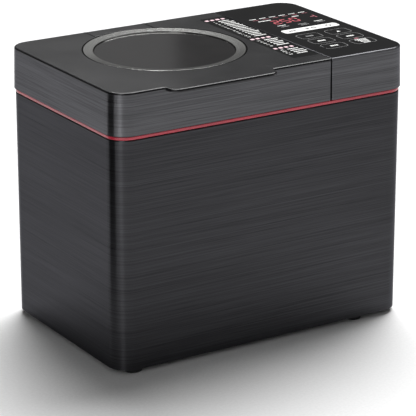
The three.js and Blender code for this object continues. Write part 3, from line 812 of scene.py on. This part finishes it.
def buildStripMarks():
    low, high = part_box("programme_strip")
    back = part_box("lid_skirt")[1].y
    white = Marks("stripNumbersAndNames", "whiteInk", "lid", high.z - inkSetup["sunk"])
    pink = Marks("stripHeaders", "pinkInk", "lid", high.z - inkSetup["sunk"])
    for fromBack in stripMarks["headers"]:
        for across in stripMarks["headerAcross"]:
            width, depth = byChance(*stripMarks["headerWidth"]), stripMarks["headerDepth"] * mm
            pink.bar(low.x + across * mm, back - fromBack * mm, width, depth, 0.8 * mm)
    digitWidth, digitHeight, stroke = (size * mm for size in stripMarks["digit"])
    number = 1
    for start, count, pitch in stripMarks["rows"]:
        for k in range(count):
            y = back - (start + k * pitch) * mm
            for place, digit in enumerate(reversed(str(number))):
                x = low.x + (stripMarks["numberAcross"] - stripMarks["digitPitch"] * place) * mm
                white.segments(x, y, digitWidth, digitHeight, digitStrokes[digit], stroke)
            number += 1
            x = low.x + stripMarks["nameAcross"] * mm
            stop = low.x + byChance(*stripMarks["nameEnd"])
            while x < stop:  # a name is a run of short dashes, with no letters
                width = byChance(*stripMarks["dashWidth"])
                white.bar(x + width / 2, y, width, byChance(*stripMarks["dashHeight"]), 0.3 * mm)
                x += width + stripMarks["dashGap"] * mm
    white.finish()
    pink.finish()


panelMarks = {  # millimetres from the panel's left edge and from its back edge
    "labels": [(17.5, 54), (30.5, 54), (43.5, 54), (56.5, 54), (69.5, 54), (83, 54)],
    "labelBar": 59,
    "headings": [(26, 65.5, 17, 2.4, 9), (67, 65.5, 9, 2.4, 5)],  # then width, height and dashes
    "timer": [("2", 33.5, 77.5), ("5", 45.7, 77.5), ("0", 57.9, 77.5)],
    "timerDigit": (7.6, 14, 1.7),  # width, height and stroke
    "colon": [(39.6, 74.5), (39.6, 80.5)],
    "loaf": (83, 76),
    "small": [(31, 92), (32, 97.5), (55, 97), (56, 101.5), (78, 95), (79, 99.5)],
    "bar": (51.9, 118, 72, 13.5),
    "keysAcross": (32.2, 69.9),
    "keysDown": (145, 168, 192),
    "key": (28.5, 18.5),
    "lamp": (69.5, 180.5),
}


def buildPanelMarks():
    low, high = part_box("panel_glass")
    top = high.z - inkSetup["sunk"]
    kinds = (("white", "whiteInk"), ("grey", "greyInk"), ("red", "redInk"), ("light", "redLight"))
    inks = {}
    for name, ink in kinds:
        inks[name] = Marks(f"panelMarks{name.capitalize()}", ink, "case", top)

    def at(across, fromBack):
        return low.x + across * mm, high.y - fromBack * mm

    def word(ink, across, fromBack, width, depth, count):
        step = width / count
        for k in range(count):
            x, y = at(across - width / 2 + step * (k + 0.5), fromBack)
            ink.bar(x, y, step * 0.72 * mm, depth * (0.8 + 0.4 * rng.random()) * mm, 0.3 * mm)

    for across, fromBack in panelMarks["labels"]:
        word(inks["white"], across, fromBack, 8.5, 2.2, 5)
        inks["red"].bar(*at(across + 1, panelMarks["labelBar"]), 7.5 * mm, 1.1 * mm, 0.4 * mm)
    for heading in panelMarks["headings"]:
        word(inks["white"], *heading)
    digitWidth, digitHeight, stroke = (size * mm for size in panelMarks["timerDigit"])
    for digit, across, fromBack in panelMarks["timer"]:  # lit digits
        inks["light"].segments(*at(across, fromBack), digitWidth, digitHeight, digitStrokes[digit], stroke)
    for place in panelMarks["colon"]:
        inks["light"].bar(*at(*place), 1.3 * mm, 1.3 * mm, 0.6 * mm, 3)
    inks["red"].segments(*at(*panelMarks["loaf"]), 6.6 * mm, 11 * mm, "bcg", 1.9 * mm)
    for across, fromBack in panelMarks["small"]:
        word(inks["grey"] if fromBack > 96 else inks["white"], across, fromBack, 11, 2.2, 6)
    across, fromBack, width, depth = panelMarks["bar"]
    inks["white"].bar(*at(across, fromBack), width * mm, depth * mm, 3.5 * mm, 6)
    buildBarSymbols(at, across, fromBack, width)
    keyWidth, keyDepth = panelMarks["key"]
    number = 0
    for down in panelMarks["keysDown"]:
        for across in panelMarks["keysAcross"]:
            x, y = at(across, down)
            inks["grey"].frameLine(x, y, keyWidth * mm, keyDepth * mm, 5.2 * mm, 0.5 * mm)
            number += 1
            if number == 2:  # a small arrow up
                foot = y - 2.2 * mm
                inks["white"].shape([(x - 2.4 * mm, foot), (x + 2.4 * mm, foot), (x, y + 2.4 * mm)])
            elif number == 6:  # four lines of small words
                for line in range(4):
                    word(inks["white"], across + 1, down - 6 + 4.2 * line, 15 - 2 * line, 2.4, 6)
            else:
                word(inks["white"] if number != 1 else inks["grey"], across, down, 10, 3.4, 4)
    inks["red"].bar(*at(*panelMarks["lamp"]), 5.5 * mm, 3 * mm, 1.4 * mm, 4)
    for ink in inks.values():
        ink.finish()


def buildBarSymbols(at, across, fromBack, width):
    # dark symbols on the white key: bars, start with pause, stop
    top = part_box("panel_glass")[1].z - inkSetup["sunk"] + inkSetup["thick"]
    dark = Marks("whiteKeySymbols", "blackInk", "case", top)
    x, y = at(across - width / 3, fromBack)
    for k in (-1, 0, 1):
        dark.bar(x + 3.4 * k * mm, y + 0.5 * k * mm, 2.2 * mm, 4.4 * mm, 0.4 * mm)
    x, y = at(across, fromBack)
    dark.shape([(x - 6.0 * mm, y - 3.4 * mm), (x - 0.4 * mm, y), (x - 6.0 * mm, y + 3.4 * mm)])
    for right in (2.4, 6.0):
        dark.bar(x + right * mm, y, 2.0 * mm, 6.4 * mm, 0.2 * mm)
    dark.frameLine(*at(across + width / 3, fromBack), 7.4 * mm, 7.4 * mm, 3.6 * mm, 1.6 * mm)
    dark.finish()


# inside: chamber, pan, handle, paddle, lid liner
def tubeAlong(name, points, r, sides=16):
    # round bar through points; each ring stands square to the path
    rings = []
    side = Vector((0, 0, 1))
    for i, point in enumerate(points):
        here = Vector(point)
        ahead = Vector(points[min(i + 1, len(points) - 1)]) - Vector(points[max(i - 1, 0)])
        across = ahead.cross(side).normalized()
        up = across.cross(ahead).normalized()
        rings.append([tuple(here + across * r * math.cos(a) + up * r * math.sin(a))
                      for a in (2 * math.pi * k / sides for k in range(sides))])
    return loft(name, rings)


chamberSetup = {
    "corner": 14 * mm,
    "sheet": 0.8 * mm,
    "bend": 6 * mm,
    "driveHole": 22 * mm,
    "terminalHole": 5.4 * mm,
    "sensorHole": 3.4 * mm,
}


def buildChamber():
    ((x0, y0), (x1, y1)), z0, z1 = flatBox("baking_chamber")
    corner, t, bend = (chamberSetup[key] for key in ("corner", "sheet", "bend"))
    inside = fillet(bend, z0 + bend, bend - t, -90, 6) + [(t, z1 - 0.4 * mm), (t * 0.5, z1)]
    outside = [(0, z1)] + fillet(bend, z0 + bend, bend, -90, 6)[::-1]
    rings = []
    for inset, z in inside + outside:  # up the inside, over the rim and down again
        around = outline(x0 + inset, x1 - inset, y0 + inset, y1 - inset, corner - inset, 8)
        rings.append([(x, y, z) for x, y in around])
    chamber = loft("bakingChamber", rings)
    drive, sensor = middleOf("drive_shaft"), middleOf("temperature_sensor")
    around = circle(drive.x, drive.y, chamberSetup["driveHole"], 64)
    cutters = [prism("driveHole", around, z0 - 2 * mm, z0 + 3 * mm)]
    around = circle(sensor.x, sensor.z, chamberSetup["sensorHole"], 24)
    cutters.append(prismY("sensorHole", around, y1 - 4 * mm, y1 + 2 * mm))
    for node in ("element_terminal_front", "element_terminal_rear"):
        terminal = middleOf(node)
        around = circle(terminal.y, terminal.z, chamberSetup["terminalHole"], 24)
        cutters.append(prismX("terminalHole", around, x1 - 4 * mm, x1 + 2 * mm))
    cutAway(chamber, *cutters)
    dress(chamber, "case", "bright_steel", ["baking_chamber"])


panSetup = {
    "corner": 29 * mm,
    "taper": 0.94,  # the floor's size against the rim's
    "wall": 1.6 * mm,
    "rimOut": 3 * mm,
    "bead": 1.15 * mm,
    "foot": 5 * mm,
    "floorRound": 6 * mm,
    "shaftHole": 9.4 * mm,
    "wallSteps": 10,
}


def buildPan():
    low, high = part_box("bread_pan")
    centre, half, height = middleOf("bread_pan"), (high - low) / 2, high.z - low.z
    wall, rimOut, bead, foot = (panSetup[key] for key in ("wall", "rimOut", "bead", "foot"))
    taper, r, steps = panSetup["taper"], panSetup["floorRound"], panSetup["wallSteps"]

    def ring(inset, z, lean):
        # lean is 0 for the floor's size and 1 for the rim's
        k = taper + (1 - taper) * lean
        x, y = (half.x - inset) * k, (half.y - inset) * k
        around = outline(-x, x, -y, y, (panSetup["corner"] - inset) * k, 12)
        return [(centre.x + x, centre.y + y, z) for x, y in around]

    def wallRings(inset, bottom, rise, order):
        heights = [bottom + rise * k / steps for k in order]
        return [ring(inset, z, (z - low.z) / height) for z in heights]

    rolled = fillet(bead, high.z - bead, bead, -90, 4) + fillet(bead, high.z - bead, bead, 0, 4)[1:]
    floorRound = fillet(rimOut + wall + r, low.z + wall + r, r, -90, 6)[::-1]
    rings = [ring(*point, 0) for point in fillet(rimOut + foot, low.z + foot, foot, -90, 6)]
    rings += wallRings(rimOut, low.z + foot, height - 2.6 * mm - foot, range(1, steps + 1))
    rings += [ring(*point, 1) for point in rolled]
    rings.append(ring(rimOut + wall - 0.5 * mm, high.z - 0.3 * mm, 1))
    rings += wallRings(rimOut + wall, low.z + wall + r, height - wall - 7.5 * mm, range(steps, 0, -1))
    rings += [ring(*point, 0) for point in floorRound]
    pan = loft("breadPan", rings)
    hole = circle(centre.x, centre.y, panSetup["shaftHole"], 48)
    cutAway(pan, prism("shaftHole", hole, low.z - 2 * mm, low.z + 12 * mm))
    dress(pan, "pan", "non_stick", ["bread_pan"], 40)


handleSetup = {"wire": 2.1 * mm, "end": 5 * mm, "shoulder": 10.3 * mm, "bowSteps": 48}


def buildHandle():
    low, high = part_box("pan_handle")
    middle = middleOf("pan_handle")
    r, end, steps = handleSetup["wire"], handleSetup["end"], handleSetup["bowSteps"]
    pivot = high.y - r
    reachX = (high.x - low.x) / 2 - handleSetup["shoulder"]
    reachY = pivot - (low.y + r)
    path = [(low.x + 0.05 * mm, pivot), (low.x + end, pivot)]
    for k in range(steps + 1):
        angle = math.pi * k / steps
        path.append((middle.x - reachX * math.cos(angle), pivot - reachY * math.sin(angle)))
    path += [(high.x - end, pivot), (high.x - 0.05 * mm, pivot)]
    handle = tubeAlong("panHandle", [(x, y, middle.z) for x, y in path], r - 0.1 * mm)
    dress(handle, "handle", "bright_steel", ["pan_handle"], 50)


linerSetup = {
    "corners": (20 * mm, 1 * mm, 1 * mm, 14 * mm),
    "sheet": 1.2 * mm,
    "well": 79 * mm,
    "bend": 3 * mm,
    "screwsIn": ((16, 16), (-10, 12), (-10, -12), (16, -16)),  # millimetres in from each corner
    "screwHead": ((0.02, -1.1), (1.6, -1.1), (2.7, -0.6), (3.0, 0.1), (0.02, 0.1)),
}


def buildLiner():
    # inner lid: a pressed plate whose round well turns up with a bend
    ((x0, y0), (x1, y1)), z0, z1 = flatBox("lid_liner")
    well, t, bend = (linerSetup[key] for key in ("well", "sheet", "bend"))
    rim = well + bend
    plate = prism("lidLiner", outline(x0, x1, y0, y1, linerSetup["corners"], 8), z0, z0 + t)
    cutAway(plate, prism("well", circle(ringCentre.x, ringCentre.y, rim, 128), z0 - 1 * mm, z0 + 3 * mm))
    softenEdges(plate, 0.3 * mm)
    dress(plate, "lid", "bright_steel", ["lid_liner"])
    wall = [(rim + 0.02 * mm, z0), (rim + 0.02 * mm, z0 + t)]
    wall += fillet(rim, z0 + bend, bend - t, -90, 6)[1:] + [(well + t, z1), (well, z1)]
    wall += fillet(rim, z0 + bend, bend, -90, 6)[:0:-1]
    dress(turned("lidWell", ringCentre, wall, 128), "lid", "bright_steel", [], 40)
    head = [(r * mm, z0 + z * mm) for r, z in linerSetup["screwHead"]]
    for i, (dx, dy) in enumerate(linerSetup["screwsIn"]):
        centre = ((x0 if dx > 0 else x1) + dx * mm, (y0 if dy > 0 else y1) + dy * mm)
        dress(turned(f"linerScrew{i + 1}", centre, head, 24), "lid", "bright_steel")


gasketSetup = {"width": 5 * mm, "corner": 14 * mm, "fullness": 0.42}


def buildGasket():
    box, z0, z1 = flatBox("lid_gasket")
    r = (z1 - z0) * gasketSetup["fullness"]
    section = fillet(r, z0 + r, r, -90, 4) + fillet(r, z1 - r, r, 0, 4)
    section += [(gasketSetup["width"] - inset, z) for inset, z in reversed(section)]
    gasket = walled("lidGasket", box, [gasketSetup["corner"]] * 4, section, 8)
    dress(gasket, "lid", "silicone", ["lid_gasket"])


paddleSetup = {  # millimetres out from the shaft and up from the paddle's foot
    "hub": [(4.1, 0), (9.9, 0), (10.5, 0.6), (7.9, 16.0), (7.0, 17.3), (4.6, 17.4), (4.1, 17.0)],
    "blade": [(6, 0), (46, 0), (48, 4), (48.4, 8), (47.4, 12), (44.5, 19), (40, 20.6), (33, 21.8),
              (26, 22), (18, 20.6), (11, 18.4), (6, 15.6)],
    "bladeLift": 0.4,
    "bladeHalf": 1.6,
    "turn": -0.6,  # radians
}


def buildPaddle():
    z0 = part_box("kneading_paddle")[0].z
    centre = middleOf("pan_shaft")
    hub = [(r * mm, z0 + z * mm) for r, z in paddleSetup["hub"]]
    dress(turned("paddleHub", centre, hub, 48), "paddle", "non_stick", ["kneading_paddle"], 40)
    east, north = math.cos(paddleSetup["turn"]), math.sin(paddleSetup["turn"])
    rings = []
    for side in (-paddleSetup["bladeHalf"], paddleSetup["bladeHalf"]):
        ring = []
        for out, up in paddleSetup["blade"]:
            x, y = out * east - side * north, out * north + side * east
            ring.append((centre.x + x * mm, centre.y + y * mm, z0 + (paddleSetup["bladeLift"] + up) * mm))
        rings.append(ring)
    blade = loft("paddleBlade", rings)
    softenEdges(blade, 0.9 * mm, 3, 40)
    dress(blade, "paddle", "non_stick", [], 40)


buildCase()
buildTrim()
buildFeet()
print("case, trim and feet built")
buildLidSkirt()
buildLidTop()
buildHingeCover()
buildPanel()
buildStrip()
buildWindow()
print("head built")
buildChamber()
buildPan()
buildHandle()
buildLiner()
buildGasket()
buildPaddle()
print("inside built")
buildStripMarks()
buildPanelMarks()
print("printed marks built")


# the frame's own parts that keep their shape
def dressFrame():
    for part in frame["record"]["subparts"]:
        node = nodes[part["node"]]
        node.data.materials.clear()
        node.data.materials.append(materials[part["material_slot"]])


dressFrame()


# floor, backdrop and light
lightSetup = {
    "world": 0.12,
    "sun": {"strength": 4.5, "spread": 46, "turn": 46, "height": 55},
    "card": {"turn": 15.5, "height": 20, "distance": 2.2, "size": (1.12, 0.62), "glow": 0.155},
    "ringCard": {"turn": 24, "height": 31, "distance": 2.2, "size": (0.3, 0.24), "glow": 7},
    "glint": {"turn": 226, "height": 48, "distance": 1.6, "size": (0.6, 0.45), "glow": 8},
    "corner": {"turn": 231, "height": 9, "distance": 1.6, "size": (0.5, 1.0), "glow": 2.0},
    "flag": {"turn": 286, "distance": 0.26, "width": 0.2, "height": 0.6},
}
aimedAt = Vector((0, 0, 0.3))  # every light faces this point


def board(name, points, finish, surface, cell, dark, light):
    # one flat sheet of the studio
    piece = newPiece(name, points, [(0, 1, 2, 3)])
    material, tree, shader, place = startMaterial(finish, surface)
    grain = addNode(tree, "ShaderNodeTexNoise", {"Scale": 1 / cell, "Detail": 2, "Roughness": 0.5},
                    {"Vector": place})
    finishSurface(tree, shader, {"dark": dark, "light": light}, grain.outputs["Fac"])
    piece.data.materials.append(material)
    return piece


def buildStage():
    floor = board("paleFloor", [(-6, -6, 0), (6, -6, 0), (6, 6, 0), (-6, 6, 0)], "whitePaperSweep",
                  {"Roughness": 0.9}, 3 * mm, "#efefef", "#f5f5f5")
    world = bpy.data.worlds.new("studio")
    world.use_nodes = True
    sky = world.node_tree.nodes["Background"]
    sky.inputs["Color"].default_value = (1, 1, 1, 1)
    sky.inputs["Strength"].default_value = lightSetup["world"]
    scene.world = world
    scene.view_settings.view_transform = "Standard"


def aimed(turn, height, distance):
    # turn is degrees from the back towards the right; height is degrees above the floor
    a, b = math.radians(turn), math.radians(height)
    return aimedAt + distance * Vector((math.cos(b) * math.sin(a), math.cos(b) * math.cos(a), math.sin(b)))


def softBox(name, turn, height, distance, size, glow):
    data = bpy.data.lights.new(name, "AREA")
    data.shape = "RECTANGLE"
    data.size, data.size_y = size
    data.energy = glow * math.pi * size[0] * size[1]
    light = bpy.data.objects.new(name, data)
    light.location = aimed(turn, height, distance)
    light.rotation_euler = (aimedAt - light.location).to_track_quat("-Z", "Y").to_euler()
    light.visible_camera = False
    scene.collection.objects.link(light)
    return light


def blackFlag(turn, distance, width, height):
    # a dark board, never seen itself, that keeps light off the corner facing it
    corner = Vector((designBox[0][0], designBox[0][1], 0))
    away = Vector((math.sin(math.radians(turn)), math.cos(math.radians(turn)), 0))
    along = Vector((away.y, -away.x, 0)) * width / 2
    middle = corner + away * distance
    lift = Vector((0, 0, height))
    points = [middle - along, middle + along, middle + along + lift, middle - along + lift]
    flag = board("blackFlag", points, "blackVelvet", {"Roughness": 1.0, "Specular IOR Level": 0.0}, 4 * mm,
                 "#050505", "#0a0a0a")
    flag.visible_camera = False


def sunlight(strength, spread, turn, height):
    data = bpy.data.lights.new("highSoftSun", "SUN")
    data.energy = strength
    data.angle = math.radians(spread)
    light = bpy.data.objects.new("highSoftSun", data)
    light.rotation_euler = (aimedAt - aimed(turn, height, 1)).to_track_quat("-Z", "Y").to_euler()
    scene.collection.objects.link(light)


buildStage()
sunlight(**lightSetup["sun"])
softBox("cardBehind", **lightSetup["card"])
softBox("cardForRing", **lightSetup["ringCard"])
softBox("cornerBox", **lightSetup["corner"])
softBox("glintLamp", **lightSetup["glint"]).visible_diffuse = False
blackFlag(**lightSetup["flag"])
print("stage lit")
